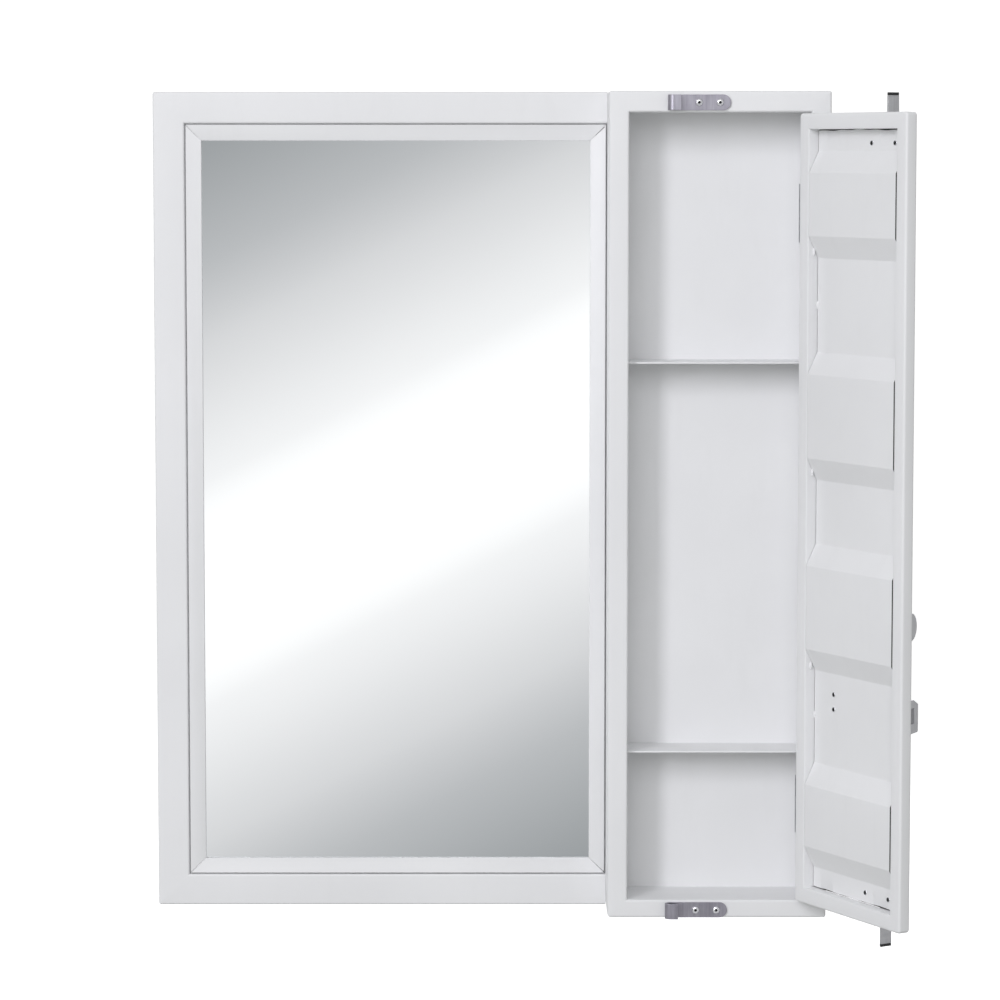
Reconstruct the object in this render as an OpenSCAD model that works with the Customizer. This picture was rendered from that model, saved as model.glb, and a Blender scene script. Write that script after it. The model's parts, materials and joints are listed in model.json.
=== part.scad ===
// Wall-hung medicine cabinet: a framed mirror beside a narrow steel cabinet.
// The cabinet door is held shut by a full-height bar that turns in two brackets on the
// door and hooks its half-round ends into two keepers on the cabinet face.
// Millimetres, +Z up, front towards -Y, wall plane at Y = 0. The origin lies on the wall
// plane, midway between the two hanging holes.

/* [Whole unit] */
// Width of mirror panel and cabinet together
unit_w = 748; // [720:1:800]
// Height of the unit
unit_h = 915; // [905:1:950]
// Width of the cabinet
cabinet_w = 243; // [236:1:260]
// Depth of the cabinet, from the wall
cabinet_d = 88; // [80:1:110]
// Depth of the mirror panel, from the wall
panel_d = 22; // [21:0.5:26]
// Thickness of the folded steel sheet
sheet_t = 1.5; // [1.2:0.1:1.8]

/* [Mirror panel] */
// Width of the outer frame's face
frame_face = 35; // [30:1:42]
// Width of the inner trim's face
trim_face = 17.5; // [15:0.5:20]
// Width of the groove between frame and trim
groove_w = 1.5; // [1:0.25:2.5]
// Thickness of the mirror glass
glass_t = 4; // [3:0.5:5]
// Distance between the two hanging holes
hang_spacing = 600; // [560:10:620]

/* [Cabinet] */
// Width of the faces at the sides of the opening
side_face = 22; // [20:1:24]
// Height of the face above the opening
top_face = 23; // [22:1:26]
// Height of the face below the opening
bottom_face = 20; // [19:1:24]
// Height of the upper shelf's underside above the bottom
upper_shelf_z = 615.6; // [560:0.1:640]
// Height of the lower shelf's underside above the bottom
lower_shelf_z = 182.3; // [150:0.1:240]

/* [Door] */
// Angle the door stands open at rest
door_rest = 120; // [60:5:160]
// Thickness of the door
door_t = 14; // [13:0.5:16]
// Width of the door's frame members
door_face = 17.5; // [16:0.5:20]

/* [Locking bar] */
// Diameter of the bar
bar_dia = 14; // [12:1:14]
// Distance of the bar's axis from the hinge pin
bar_from_pin = 137.4; // [130:0.1:145]
// Angle the bar is turned open at rest, 0 is locked
bar_rest = 60; // [0:5:110]

/* [Hidden] */
$fn = 48;
tiny = 0.01;

// --- Mirror panel, laid out from the unit's lower left corner -----------------------
panel_w = unit_w - cabinet_w;
fold_r = 2.5;
panel_front = -panel_d;
frame_inner_top = unit_h - frame_face;
trim_left_x = frame_face + groove_w;
trim_right_x = panel_w - groove_w;
trim_low_z = frame_face + groove_w;
trim_high_z = frame_inner_top - groove_w;
trim_t = 1.5;
mitre_gap = 0.12;
tape_t = 1;
tape_w = 10;
backing_t = 3;
glass_front = panel_front + trim_t + tape_t;
backing_front = glass_front + glass_t;
backing_back = backing_front + backing_t;
trim_d = backing_back - panel_front;
glass_play = 0.5;
seal_recess = 4;

clip_l = 24;
clip_t = 1.5;
clip_reach = 20;
clip_y = backing_back + 5.5;
clip_screw_r = 1.5;
play = 0.05;

hang_z = unit_h - 57;
hang_x = [(unit_w - hang_spacing) / 2, (unit_w + hang_spacing) / 2];
hang_plate_w = 48;
hang_plate_t = 3;
hang_hole_r = 5;
hang_slot_w = 5;
hang_slot_rise = 12;

// --- Cabinet -----------------------------------------------------------------------
cabinet_front = -cabinet_d;
open_left = panel_w + side_face;
open_right = unit_w - side_face;
open_low = bottom_face;
open_high = unit_h - top_face;
back_panel_y = -18;
shelf_t = 2;
shelf_front = cabinet_front + 16;
corner_r = 3;
corner_low_r = 4.5;

// --- Door, laid out closed ----------------------------------------------------------
gap_free = 2;
gap_hinge = 3;
gap_top = 1.5;
door_left = open_left + gap_free;
door_right = open_right - gap_hinge;
door_low = open_low + gap_top;
door_high = open_high - gap_top;
door_mid = (door_low + door_high) / 2;
door_inner = cabinet_front + door_t;
panel_left = door_left + door_face;
panel_right = door_right - door_face;
panel_low = door_low + door_face;
panel_high = door_high - door_face;
skin_t = 1;
rib_slope = 24;
rib_sunk = 0.5;
panel_end_gap = 0.8;
// From the middle of the door outwards: land, rib, land, rib (flat parts only)
half_land = 35;
inner_rib = 92;
outer_land = 102.5;
outer_rib = 68.5;

// --- Hinges -------------------------------------------------------------------------
pin_x = open_right - gap_hinge / 2;
pin_y = cabinet_front - 1.25;
pin_r = 1.5;
knuckle_r = 2.75;
hinge_h = 64;
hinge_from_mid = 326;
hinge_z = [door_mid - hinge_from_mid - hinge_h / 2, door_mid + hinge_from_mid - hinge_h / 2];
knuckles = 5;
knuckle_h = hinge_h / knuckles;
knuckle_gap = 0.2;
leaf_t = 1.1;
leaf_d = 14.75;
leaf_start = 1.9;
hinge_screw_z = [12, hinge_h / 2, hinge_h - 12];
hinge_screw_y = 8.5;
hinge_screw_l = 8;
screw_r = 1.5;
screw_head_r = 2.6;

// --- Locking bar, its axis at the origin of its own frame ----------------------------
bar_r = bar_dia / 2;
bar_x = pin_x - bar_from_pin;
bar_stand = 12;
bar_y = cabinet_front - bar_stand;
bar_low = -6;
bar_high = unit_h - 3.5;
cam_clear = 1.5;
cap_h = 3;
lock_side = -120;
bracket_h = 14;
bracket_z = [panel_low + 11.5, panel_high - 15];
strap_t = 2;
strap_r = 9;
ear_half = 29;
rivet_x = 20.7;
rivet_r = 2;
collar_h = 8;
collar_r = 11;
axial_gap = 0.3;

lever_z = 319;
lever_h = 31;
lever_reach = 70.5;
tongue_z = 217;
tongue_h = 37;
tongue_reach = 76;
tongue_slope = [12, 6];
tongue_cut = 1.5;
arm_t = 5;
sleeve_r = 10.5;
sleeve_z = 213;
sleeve_h = 141;
slot_from = 54;
slot_to = 65;
slot_h = 17;
slot_z = tongue_z + 11;

catch_left = bar_x + 54;
catch_w = 36;
catch_z = 213;
catch_h = 51;
catch_rivet_x = door_right - 54;
catch_rivet_z = [241.8, 258.2];
staple_x = bar_x + 58;
staple_t = 4;
staple_w = 13;
staple_out = 26;
staple_hole_r = 3.5;

// --- Keepers ------------------------------------------------------------------------
keeper_h = 17;
keeper_t = 2.2;
keeper_z = [0.5, unit_h - 4 - keeper_h];
keeper_left = bar_x - 18.4;
keeper_right = bar_x + 50.8;
curl_r = 6.2;
lip_end = bar_x - 3.9;
keeper_screw_x = [bar_x + 15.9, bar_x + 38.8];
keeper_screw_r = 2;

white = [0.88, 0.885, 0.9];
steel = [0.6, 0.58, 0.63];
bright = [0.8, 0.8, 0.82];
black = [0.06, 0.06, 0.065];
silvered = [0.75, 0.8, 0.82];
board = [0.45, 0.34, 0.24];
nylon = [0.12, 0.12, 0.13];

// --- Shared shapes --------------------------------------------------------------------
// Moves the whole unit so that the hanging holes' midpoint is the origin
module place() translate([-unit_w / 2, 0, -hang_z]) children();

// Puts the closed door's parts where the open door stands
module on_door() place()
    translate([pin_x, pin_y, 0]) rotate([0, 0, door_rest]) translate([-pin_x, -pin_y, 0]) children();

// Puts parts drawn about the bar's axis, in the locked position, where they are at rest
module on_bar() on_door() translate([bar_x, bar_y, 0]) rotate([0, 0, -bar_rest]) children();

// Strip whose two front corners are rounded: x across, y from the front to the back
module rounded_front(w, d, r) {
    translate([r, 0]) square([w - 2 * r, r + tiny]);
    translate([0, r]) square([w, d - r]);
    for (x = [r, w - r]) translate([x, r]) circle(r);
}

// Rectangle with four rounded corners
module rounded_rect(w, d, r) {
    translate([r, 0]) square([w - 2 * r, d]);
    translate([0, r]) square([w, d - 2 * r]);
    for (x = [r, w - r], y = [r, d - r]) translate([x, y]) circle(r);
}

// Folded channel, open at the back: outer wall at x = 0, face at the front, inner wall
module channel_profile(face, depth, inner_depth) difference() {
    rounded_front(face, depth, fold_r);
    translate([sheet_t, sheet_t])
        rounded_front(face - 2 * sheet_t, depth, fold_r - sheet_t);
    translate([sheet_t, inner_depth]) square([face, depth]);
}

// Lays a profile's extrusion along +X, with the profile's x pointing up or down
module along_x_up(length) mirror([0, 0, 1]) rotate([0, 90, 0]) linear_extrude(length) children();
module along_x_down(length) rotate([0, 90, 0]) linear_extrude(length) children();

// Prism through the whole depth whose outline is drawn in the X-Z plane
module through_y() translate([0, 10, 0]) rotate([90, 0, 0]) linear_extrude(cabinet_d + 20) children();

// One side of a mitred rectangle, "left", "right", "low" or "high", as an X-Z outline
module mitre(side, x0, z0, x1, z1, i0, j0, i1, j1) {
    if (side == "left") polygon([[x0, z0], [i0, j0], [i0, j1], [x0, z1]]);
    if (side == "right") polygon([[x1, z0], [i1, j0], [i1, j1], [x1, z1]]);
    if (side == "low") polygon([[x0, z0], [x1, z0], [i1, j0], [i0, j0]]);
    if (side == "high") polygon([[x0, z1], [x1, z1], [i1, j1], [i0, j1]]);
}

// Low dome standing on z = 0
module dome(r, h) {
    ball_r = (r * r + h * h) / (2 * h);
    intersection() {
        translate([0, 0, h - ball_r]) sphere(ball_r);
        cylinder(r = r, h = h);
    }
}

// Turns +Z to the front, -Y
module facing_front() rotate([90, 0, 0]) children();

// --- Mirror panel ---------------------------------------------------------------------
// Stands its children at each clip: +x points inwards from the surrounding wall
module at_clips() {
    side_z = [for (k = [0.18, 0.5, 0.82]) k * unit_h];
    rail_x = [for (k = [0.28, 0.74]) k * panel_w];
    for (z = side_z) {
        translate([frame_face, 0, z]) children();
        translate([panel_w, 0, z]) mirror([1, 0, 0]) children();
    }
    for (x = rail_x) {
        translate([x, 0, frame_face]) rotate([0, -90, 0]) children();
        translate([x, 0, frame_inner_top]) rotate([0, 90, 0]) children();
    }
}

module clip_screw_holes() at_clips()
    translate([-4, clip_y, 0]) rotate([0, 90, 0]) cylinder(r = clip_screw_r + play, h = 8);

module frame_corners(r) intersection() {
    children();
    through_y() union() {
        translate([r, 0]) square([panel_w, unit_h]);
        translate([0, r]) square([panel_w, unit_h - 2 * r]);
        for (z = [r, unit_h - r]) translate([r, z]) circle(r);
    }
}

// One bar of the C-shaped outer frame, whose right-hand ends butt on the cabinet
module frame_bar(side) difference() {
    frame_corners(corner_r) intersection() {
        translate([0, panel_front, 0]) children();
        through_y() mitre(side, 0, 0, panel_w, unit_h,
            frame_face, frame_face, panel_w, frame_inner_top);
    }
    clip_screw_holes();
}

module frame_left_stile() color(white) place() frame_bar("left")
    linear_extrude(unit_h) channel_profile(frame_face, panel_d, panel_d);

module frame_top_rail() color(white) place() frame_bar("high")
    translate([0, 0, unit_h]) along_x_down(panel_w) channel_profile(frame_face, panel_d, panel_d);

module frame_bottom_rail() color(white) place() frame_bar("low")
    along_x_up(panel_w) channel_profile(frame_face, panel_d, panel_d);

// Angle section of the trim: face at the front, leg at the outer edge
module trim_profile() {
    rounded_front(trim_face, trim_t, trim_t / 2);
    translate([0, trim_t / 2]) square([trim_t, trim_d - trim_t / 2]);
}

// One mitred side of the trim, with a hair of a gap at each mitre
module trim_bar(side) intersection() {
    translate([0, panel_front, 0]) children();
    through_y() intersection() {
        mitre(side, trim_left_x, trim_low_z, trim_right_x, trim_high_z,
            trim_left_x + trim_face, trim_low_z + trim_face,
            trim_right_x - trim_face, trim_high_z - trim_face);
        if (side == "low" || side == "high")
            translate([trim_left_x + mitre_gap, 0]) square([trim_right_x - trim_left_x - 2 * mitre_gap, unit_h]);
        else
            translate([0, trim_low_z + mitre_gap]) square([panel_w, trim_high_z - trim_low_z - 2 * mitre_gap]);
    }
}

module trim_left() color(white) place() trim_bar("left")
    translate([trim_left_x, 0, 0]) linear_extrude(unit_h) trim_profile();

module trim_right() color(white) place() trim_bar("right")
    translate([trim_right_x, 0, 0]) mirror([1, 0, 0]) linear_extrude(unit_h) trim_profile();

module trim_top() color(white) place() trim_bar("high")
    translate([0, 0, trim_high_z]) along_x_down(panel_w) trim_profile();

module trim_bottom() color(white) place() trim_bar("low")
    translate([0, 0, trim_low_z]) along_x_up(panel_w) trim_profile();

// Rectangular ring of four butted strips, set in from a rectangle's edges
module strips(x0, z0, x1, z1, w, y, t) {
    for (x = [x0, x1 - w]) translate([x, y, z0]) cube([w, t, z1 - z0]);
    for (z = [z0, z1 - w]) translate([x0 + w + play, y, z]) cube([x1 - x0 - 2 * w - 2 * play, t, w]);
}

module groove_seal() color(black) place() strips(
    frame_face, frame_face, panel_w, frame_inner_top,
    groove_w, panel_front + seal_recess, trim_d - seal_recess);

module glazing_tape() color(black) place() strips(
    trim_left_x + trim_t, trim_low_z + trim_t, trim_right_x - trim_t, trim_high_z - trim_t,
    tape_w, panel_front + trim_t, tape_t);

// Flat plate inside the trim's legs
module glazing_plate(front, t) {
    inset = trim_t + glass_play;
    translate([trim_left_x + inset, front, trim_low_z + inset])
        cube([trim_right_x - trim_left_x - 2 * inset, t, trim_high_z - trim_low_z - 2 * inset]);
}

module mirror_glass() color(silvered) place() glazing_plate(glass_front, glass_t);

module mirror_backing() color(board) place() glazing_plate(backing_front, backing_t);

module retaining_clips() color(bright) place() at_clips() difference() {
    translate([0, backing_back, -clip_l / 2]) union() {
        cube([clip_reach, clip_t, clip_l]);
        cube([clip_t, 10, clip_l]);
    }
    translate([-1, clip_y, 0]) rotate([0, 90, 0]) cylinder(r = clip_screw_r + play, h = 4);
}

module clip_screws() color(bright) place() at_clips() translate([0, clip_y, 0]) rotate([0, 90, 0]) {
    translate([0, 0, clip_t]) dome(3, 1.6);
    translate([0, 0, -6]) cylinder(r = clip_screw_r, h = 6 + clip_t + tiny);
}

// Angles in the open rails that tie the mirror frame to the cabinet's side
joint_z = [frame_face / 2, unit_h - frame_face / 2];
joint_screw_z = [-6.5, 6.5];
joint_y = -10;

module at_joint_screws() for (z = joint_z, dz = joint_screw_z)
    translate([panel_w, joint_y, z + dz]) rotate([0, 90, 0]) children();

module joining_brackets() color(bright) place() difference() {
    for (z = joint_z) translate([panel_w, panel_front + sheet_t, z - 13]) union() {
        translate([-3, 0, 0]) cube([3, 17, 26]);
        translate([-36, 0, 0]) cube([36, 2, 26]);
    }
    at_joint_screws() translate([0, 0, -4]) cylinder(r = rivet_r + play, h = 5);
}

module joining_screws() color(bright) place() at_joint_screws() {
    translate([0, 0, -3]) mirror([0, 0, 1]) dome(3.6, 2);
    translate([0, 0, -3 - tiny]) cylinder(r = rivet_r, h = 8);
}

// --- Hanging --------------------------------------------------------------------------
// Plate on the wall plane with a keyhole: drop the entry over a screw head, then lower
module hanger_plate(x, top) difference() {
    translate([x - hang_plate_w / 2, -hang_plate_t, hang_z - 18])
        cube([hang_plate_w, hang_plate_t, top - hang_z + 18]);
    translate([x, 1, hang_z]) facing_front() cylinder(r = hang_hole_r, h = 5);
    translate([x - hang_slot_w / 2, -4, hang_z]) cube([hang_slot_w, 5, hang_slot_rise]);
    translate([x, 1, hang_z + hang_slot_rise]) facing_front() cylinder(r = hang_slot_w / 2, h = 5);
}

module hanger_plate_left() color(bright) place() hanger_plate(hang_x[0], frame_inner_top);

module hanger_plate_right() color(bright) place() hanger_plate(hang_x[1], unit_h - sheet_t);

// --- Cabinet --------------------------------------------------------------------------
// Front outline of the cabinet, its lower left corner a little rounder than the rest
module cabinet_outline() difference() {
    translate([panel_w, 0]) square([cabinet_w, unit_h]);
    for (c = [
        [panel_w, 0, corner_low_r], [unit_w, 0, corner_r],
        [panel_w, unit_h, corner_r], [unit_w, unit_h, corner_r],
    ]) {
        sx = c[0] > panel_w ? -1 : 1;
        sz = c[1] > 0 ? -1 : 1;
        translate([c[0], c[1]]) difference() {
            translate([sx > 0 ? -1 : -c[2], sz > 0 ? -1 : -c[2]]) square(c[2] + 1);
            translate([sx * c[2], sz * c[2]]) circle(c[2]);
        }
    }
}

module cabinet_bar(side) difference() {
    intersection() {
        translate([0, cabinet_front, 0]) children();
        through_y() intersection() {
            cabinet_outline();
            mitre(side, panel_w, 0, unit_w, unit_h, open_left, open_low, open_right, open_high);
        }
    }
    clip_screw_holes();
    at_joint_screws() translate([0, 0, -1]) cylinder(r = rivet_r + play, h = 3);
    at_keeper_screws() cylinder(r = keeper_screw_r + play, h = 8, center = true);
    for (z = hinge_z) translate([pin_x, pin_y, z]) leaf_screw_holes();
}

inner_wall_d = back_panel_y - cabinet_front;

module cabinet_left_post() color(white) place() cabinet_bar("left")
    translate([panel_w, 0, 0]) linear_extrude(unit_h) channel_profile(side_face, cabinet_d, inner_wall_d);

module cabinet_right_post() color(white) place() cabinet_bar("right")
    translate([unit_w, 0, 0]) mirror([1, 0, 0]) linear_extrude(unit_h)
        channel_profile(side_face, cabinet_d, inner_wall_d);

module cabinet_top_rail() color(white) place() cabinet_bar("high")
    translate([panel_w, 0, unit_h]) along_x_down(cabinet_w)
        channel_profile(top_face, cabinet_d, inner_wall_d);

module cabinet_bottom_rail() color(white) place() cabinet_bar("low")
    translate([panel_w, 0, 0]) along_x_up(cabinet_w)
        channel_profile(bottom_face, cabinet_d, inner_wall_d);

module back_panel() color(white) place()
    translate([panel_w + sheet_t, back_panel_y, sheet_t])
        cube([cabinet_w - 2 * sheet_t, sheet_t, unit_h - 2 * sheet_t]);

// Welded shelf with a rounded front edge
module shelf(z) {
    r = shelf_t / 2;
    translate([open_left, shelf_front + r, z])
        cube([open_right - open_left, back_panel_y - shelf_front - r, shelf_t]);
    translate([open_left, shelf_front + r, z + r]) rotate([0, 90, 0])
        cylinder(r = r, h = open_right - open_left);
}

module upper_shelf() color(white) place() shelf(upper_shelf_z);

module lower_shelf() color(white) place() shelf(lower_shelf_z);

// --- Keepers --------------------------------------------------------------------------
module at_keeper_screws() for (z = keeper_z, x = keeper_screw_x)
    translate([x, cabinet_front, z + keeper_h / 2]) facing_front() children();

// Strap screwed to the cabinet's face, its left end curled forwards into a hook
module keeper(z) difference() {
    union() {
        intersection() {
            translate([keeper_left + curl_r, cabinet_front - keeper_t, z])
                cube([keeper_right - keeper_left - curl_r, keeper_t, keeper_h]);
            through_y() {
                translate([keeper_left, z]) square([keeper_right - keeper_left - keeper_h / 2, keeper_h]);
                translate([keeper_right - keeper_h / 2, z + keeper_h / 2]) circle(keeper_h / 2);
            }
        }
        translate([0, 0, z]) linear_extrude(keeper_h) {
            translate([keeper_left + curl_r, cabinet_front - curl_r]) intersection() {
                difference() {
                    circle(curl_r);
                    circle(curl_r - keeper_t);
                }
                translate([-curl_r, -curl_r]) square([curl_r + tiny, 2 * curl_r]);
            }
            translate([keeper_left + curl_r, cabinet_front - 2 * curl_r])
                square([lip_end - keeper_left - curl_r, keeper_t]);
        }
    }
    at_keeper_screws() translate([0, 0, -1]) cylinder(r = keeper_screw_r + play, h = 6);
}

module keeper_top() color(steel) place() keeper(keeper_z[1]);

module keeper_bottom() color(steel) place() keeper(keeper_z[0]);

// Round-headed screws with a six-sided socket
module keeper_screws() color(bright) place() at_keeper_screws() difference() {
    union() {
        translate([0, 0, keeper_t]) dome(4.3, 2.4);
        translate([0, 0, -10]) cylinder(r = keeper_screw_r, h = 10 + keeper_t + tiny);
    }
    translate([0, 0, keeper_t + 0.9]) cylinder(r = 1.7, h = 3, $fn = 6);
}

// --- Hinges ---------------------------------------------------------------------------
module leaf_screw_holes() for (z = hinge_screw_z)
    translate([leaf_t, hinge_screw_y, z]) rotate([0, 90, 0]) cylinder(r = screw_r + play, h = 5);

module knuckle_stack(which, r, grow) for (k = which)
    translate([0, 0, k * knuckle_h + knuckle_gap / 2 - grow])
        cylinder(r = r, h = knuckle_h - knuckle_gap + 2 * grow);

// Hinge leaf about its pin, lying at +x; "own" are its knuckles, counted from below
module leaf(own, other) {
    near = gap_hinge / 2 - leaf_t;
    difference() {
        union() {
            translate([near, leaf_start, 0]) cube([leaf_t, leaf_d - leaf_start, hinge_h]);
            knuckle_stack(own, knuckle_r, 0);
        }
        knuckle_stack(other, knuckle_r + 0.3, knuckle_gap);
        translate([0, 0, -1]) cylinder(r = pin_r + play, h = hinge_h + 2);
        for (z = hinge_screw_z) translate([near, hinge_screw_y, z]) rotate([0, 90, 0]) {
            translate([0, 0, -tiny]) cylinder(r1 = screw_head_r + play, r2 = screw_r + play, h = leaf_t);
            cylinder(r = screw_r + play, h = 3);
        }
    }
}

module frame_leaf(z) translate([pin_x, pin_y, z]) leaf([0, 2, 4], [1, 3]);

module door_leaf(z) translate([pin_x, pin_y, z]) mirror([1, 0, 0]) leaf([1, 3], [0, 2, 4]);

// Countersunk screws of one leaf, about the pin, pointing to +x
module leaf_screws() for (z = hinge_screw_z)
    translate([gap_hinge / 2 - leaf_t, hinge_screw_y, z]) rotate([0, 90, 0]) difference() {
        union() {
            cylinder(r1 = screw_head_r, r2 = screw_r, h = leaf_t);
            cylinder(r = screw_r, h = hinge_screw_l);
        }
        for (turn = [0, 90]) rotate([0, 0, turn]) translate([-1.6, -0.25, -1]) cube([3.2, 0.5, 1.6]);
    }

module hinge_pin(z) translate([pin_x, pin_y, z]) {
    cylinder(r = pin_r, h = hinge_h);
    translate([0, 0, knuckle_gap / 2]) mirror([0, 0, 1]) dome(2.4, 1.3);
    translate([0, 0, hinge_h - knuckle_gap / 2]) dome(2.4, 1.3);
}

module lower_frame_leaf() color(bright) place() frame_leaf(hinge_z[0]);
module upper_frame_leaf() color(bright) place() frame_leaf(hinge_z[1]);
module lower_hinge_pin() color(bright) place() hinge_pin(hinge_z[0]);
module upper_hinge_pin() color(bright) place() hinge_pin(hinge_z[1]);
module lower_door_leaf() color(bright) on_door() door_leaf(hinge_z[0]);
module upper_door_leaf() color(bright) on_door() door_leaf(hinge_z[1]);

module frame_leaf_screws() color(bright) place()
    for (z = hinge_z) translate([pin_x, pin_y, z]) leaf_screws();

module door_leaf_screws() color(bright) on_door()
    for (z = hinge_z) translate([pin_x, pin_y, z]) mirror([1, 0, 0]) leaf_screws();

// --- Door -----------------------------------------------------------------------------
// Closed tube of the door's frame, from x or z = 0 to its length, with welded ends
module tube_profile() rounded_rect(door_face, door_t, fold_r);
module tube_hollow_profile() translate([sheet_t, sheet_t])
    rounded_rect(door_face - 2 * sheet_t, door_t - 2 * sheet_t, fold_r - sheet_t);

module door_stile(x) translate([x, cabinet_front, door_low]) difference() {
    linear_extrude(door_high - door_low) tube_profile();
    translate([0, 0, sheet_t]) linear_extrude(door_high - door_low - 2 * sheet_t) tube_hollow_profile();
}

module door_rail(z) translate([panel_left, cabinet_front, z]) difference() {
    along_x_up(panel_right - panel_left) tube_profile();
    translate([sheet_t, 0, 0]) along_x_up(panel_right - panel_left - 2 * sheet_t) tube_hollow_profile();
}

module door_hinge_stile() color(white) on_door() difference() {
    door_stile(panel_right);
    for (z = hinge_z) translate([pin_x, pin_y, z]) mirror([1, 0, 0]) leaf_screw_holes();
}

module door_free_stile() color(white) on_door() door_stile(door_left);
module door_top_rail() color(white) on_door() door_rail(panel_high);
module door_bottom_rail() color(white) on_door() door_rail(panel_low - door_face);

// Heights of the pressed sheet's bends above the door's middle, and whether each is out
// at the door's face (0) or in at its back (1)
bend_steps = [half_land, rib_slope, inner_rib, rib_slope, outer_land, rib_slope, outer_rib, rib_slope];
bend_in = [0, 1, 1, 0, 0, 1, 1, 0];
function sum_to(list, n) = n < 0 ? 0 : list[n] + sum_to(list, n - 1);
panel_half = (panel_high - panel_low) / 2;
upper_bends = concat([for (k = [0:7]) [sum_to(bend_steps, k), bend_in[k]]], [[panel_half, 0]]);
lower_bends = [for (k = [8:-1:0]) [-upper_bends[k][0], upper_bends[k][1]]];
bends = concat(lower_bends, upper_bends);
rib_in = door_t - rib_sunk - skin_t;

// Pressed sheet that fills the door's frame, with two ribs above and two below its middle
module door_panel() color(white) on_door() difference() {
    translate([panel_left + panel_end_gap, cabinet_front, door_mid])
        along_x_up(panel_right - panel_left - panel_end_gap)
            polygon(concat(
                [for (b = bends) [b[0], rib_in * b[1]]],
                [for (k = [len(bends) - 1:-1:0]) [bends[k][0], rib_in * bends[k][1] + skin_t]]));
    at_bracket_rivets() translate([0, 0, -3]) cylinder(r = rivet_r + play, h = 4);
    at_catch_rivets() translate([0, 0, -3]) cylinder(r = rivet_r + play, h = 4);
}

// --- Bar brackets on the door ---------------------------------------------------------
module at_brackets(which) for (k = which)
    translate([bar_x, bar_y, bracket_z[k] - bracket_h / 2]) children();

module at_bracket_rivets() for (z = bracket_z, x = [-rivet_x, rivet_x])
    translate([bar_x + x, cabinet_front, z]) facing_front() children();

// Strap bent over the bar, with an ear at each side
module bar_bracket(k) difference() {
    at_brackets([k]) linear_extrude(bracket_h) difference() {
        union() {
            circle(strap_r + strap_t);
            translate([-strap_r - strap_t, 0]) square([2 * (strap_r + strap_t), bar_stand]);
            translate([-ear_half, bar_stand - strap_t]) square([2 * ear_half, strap_t]);
        }
        circle(strap_r);
        translate([-strap_r, 0]) square([2 * strap_r, bar_stand + 1]);
    }
    at_bracket_rivets() translate([0, 0, -1]) cylinder(r = rivet_r + play, h = strap_t + 2);
}

module lower_bar_bracket() color(bright) on_door() bar_bracket(0);
module upper_bar_bracket() color(bright) on_door() bar_bracket(1);

// Bushes that fill the brackets and guide the bar
module bar_bushes() color(nylon) on_door() at_brackets([0, 1]) linear_extrude(bracket_h) difference() {
    union() {
        circle(strap_r - play);
        translate([play - strap_r, 0]) square([2 * (strap_r - play), bar_stand]);
    }
    circle(bar_r + play);
}

// Hollow rivet: domed head at the front, open flared tail behind the sheet
module hollow_rivet(grip) difference() {
    union() {
        translate([0, 0, grip]) dome(4, 1.6);
        translate([0, 0, -skin_t - tiny]) cylinder(r = rivet_r, h = grip + skin_t + 2 * tiny);
        translate([0, 0, -skin_t - 0.8]) cylinder(r = 2.9, h = 0.8);
    }
    translate([0, 0, -skin_t - 1]) cylinder(r = 1.3, h = skin_t + 2);
}

module bracket_rivets() color(bright) on_door() at_bracket_rivets() hollow_rivet(strap_t);

// --- Handle catch on the door ---------------------------------------------------------
module at_catch_rivets() for (z = catch_rivet_z)
    translate([catch_rivet_x, cabinet_front, z]) facing_front() children();

// Plate with a staple that comes through the tongue's slot and takes a padlock
module catch_plate() color(bright) on_door() difference() {
    union() {
        translate([catch_left, cabinet_front - strap_t, catch_z]) cube([catch_w, strap_t, catch_h]);
        translate([staple_x, cabinet_front - staple_out, slot_z + slot_h / 2 - staple_w / 2]) intersection() {
            cube([staple_t, staple_out - strap_t + tiny, staple_w]);
            rotate([0, 90, 0]) union() {
                translate([-staple_w / 2, staple_w / 2]) cylinder(r = staple_w / 2, h = staple_t);
                translate([-staple_w, staple_w / 2]) cube([staple_w, staple_out, staple_t]);
            }
        }
    }
    translate([staple_x - 1, cabinet_front - staple_out + staple_w / 2, slot_z + slot_h / 2])
        rotate([0, 90, 0]) cylinder(r = staple_hole_r, h = staple_t + 2);
    at_catch_rivets() translate([0, 0, -1]) cylinder(r = rivet_r + play, h = strap_t + 2);
}

module catch_rivets() color(bright) on_door() at_catch_rivets() hollow_rivet(strap_t);

// --- Locking bar ----------------------------------------------------------------------
cam_top = open_high - cam_clear + 0.5;
cam_bottom = open_low + 0.5;

// Everything on the free side of the cams' flat, between two heights
module cam_cut(z0, z1) rotate([0, 0, lock_side]) translate([0, -20, z0]) cube([20, 40, z1 - z0]);

module locking_bar() color(steel) on_bar() difference() {
    translate([0, 0, bar_low + cap_h]) cylinder(r = bar_r, h = bar_high - bar_low - 2 * cap_h);
    cam_cut(bar_low - 1, cam_bottom);
    cam_cut(cam_top, bar_high + 1);
}

// Black caps on the two half-round ends
module bar_caps() color(black) on_bar() difference() {
    for (z = [bar_low, bar_high - cap_h]) translate([0, 0, z]) cylinder(r = bar_r, h = cap_h);
    cam_cut(bar_low - 1, bar_high + 1);
}

collar_z = [bracket_z[0] + bracket_h / 2 + axial_gap, bracket_z[1] - bracket_h / 2 - axial_gap - collar_h];

// Set screw pointing at the bar from the front
module at_set_screws(heights) for (z = heights) translate([0, 0, z]) facing_front() children();

module set_screw(outer) difference() {
    translate([0, 0, bar_r]) cylinder(r = rivet_r, h = outer - bar_r - 0.5);
    translate([0, 0, outer - 2]) cylinder(r = 1.1, h = 3, $fn = 6);
}

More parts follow.
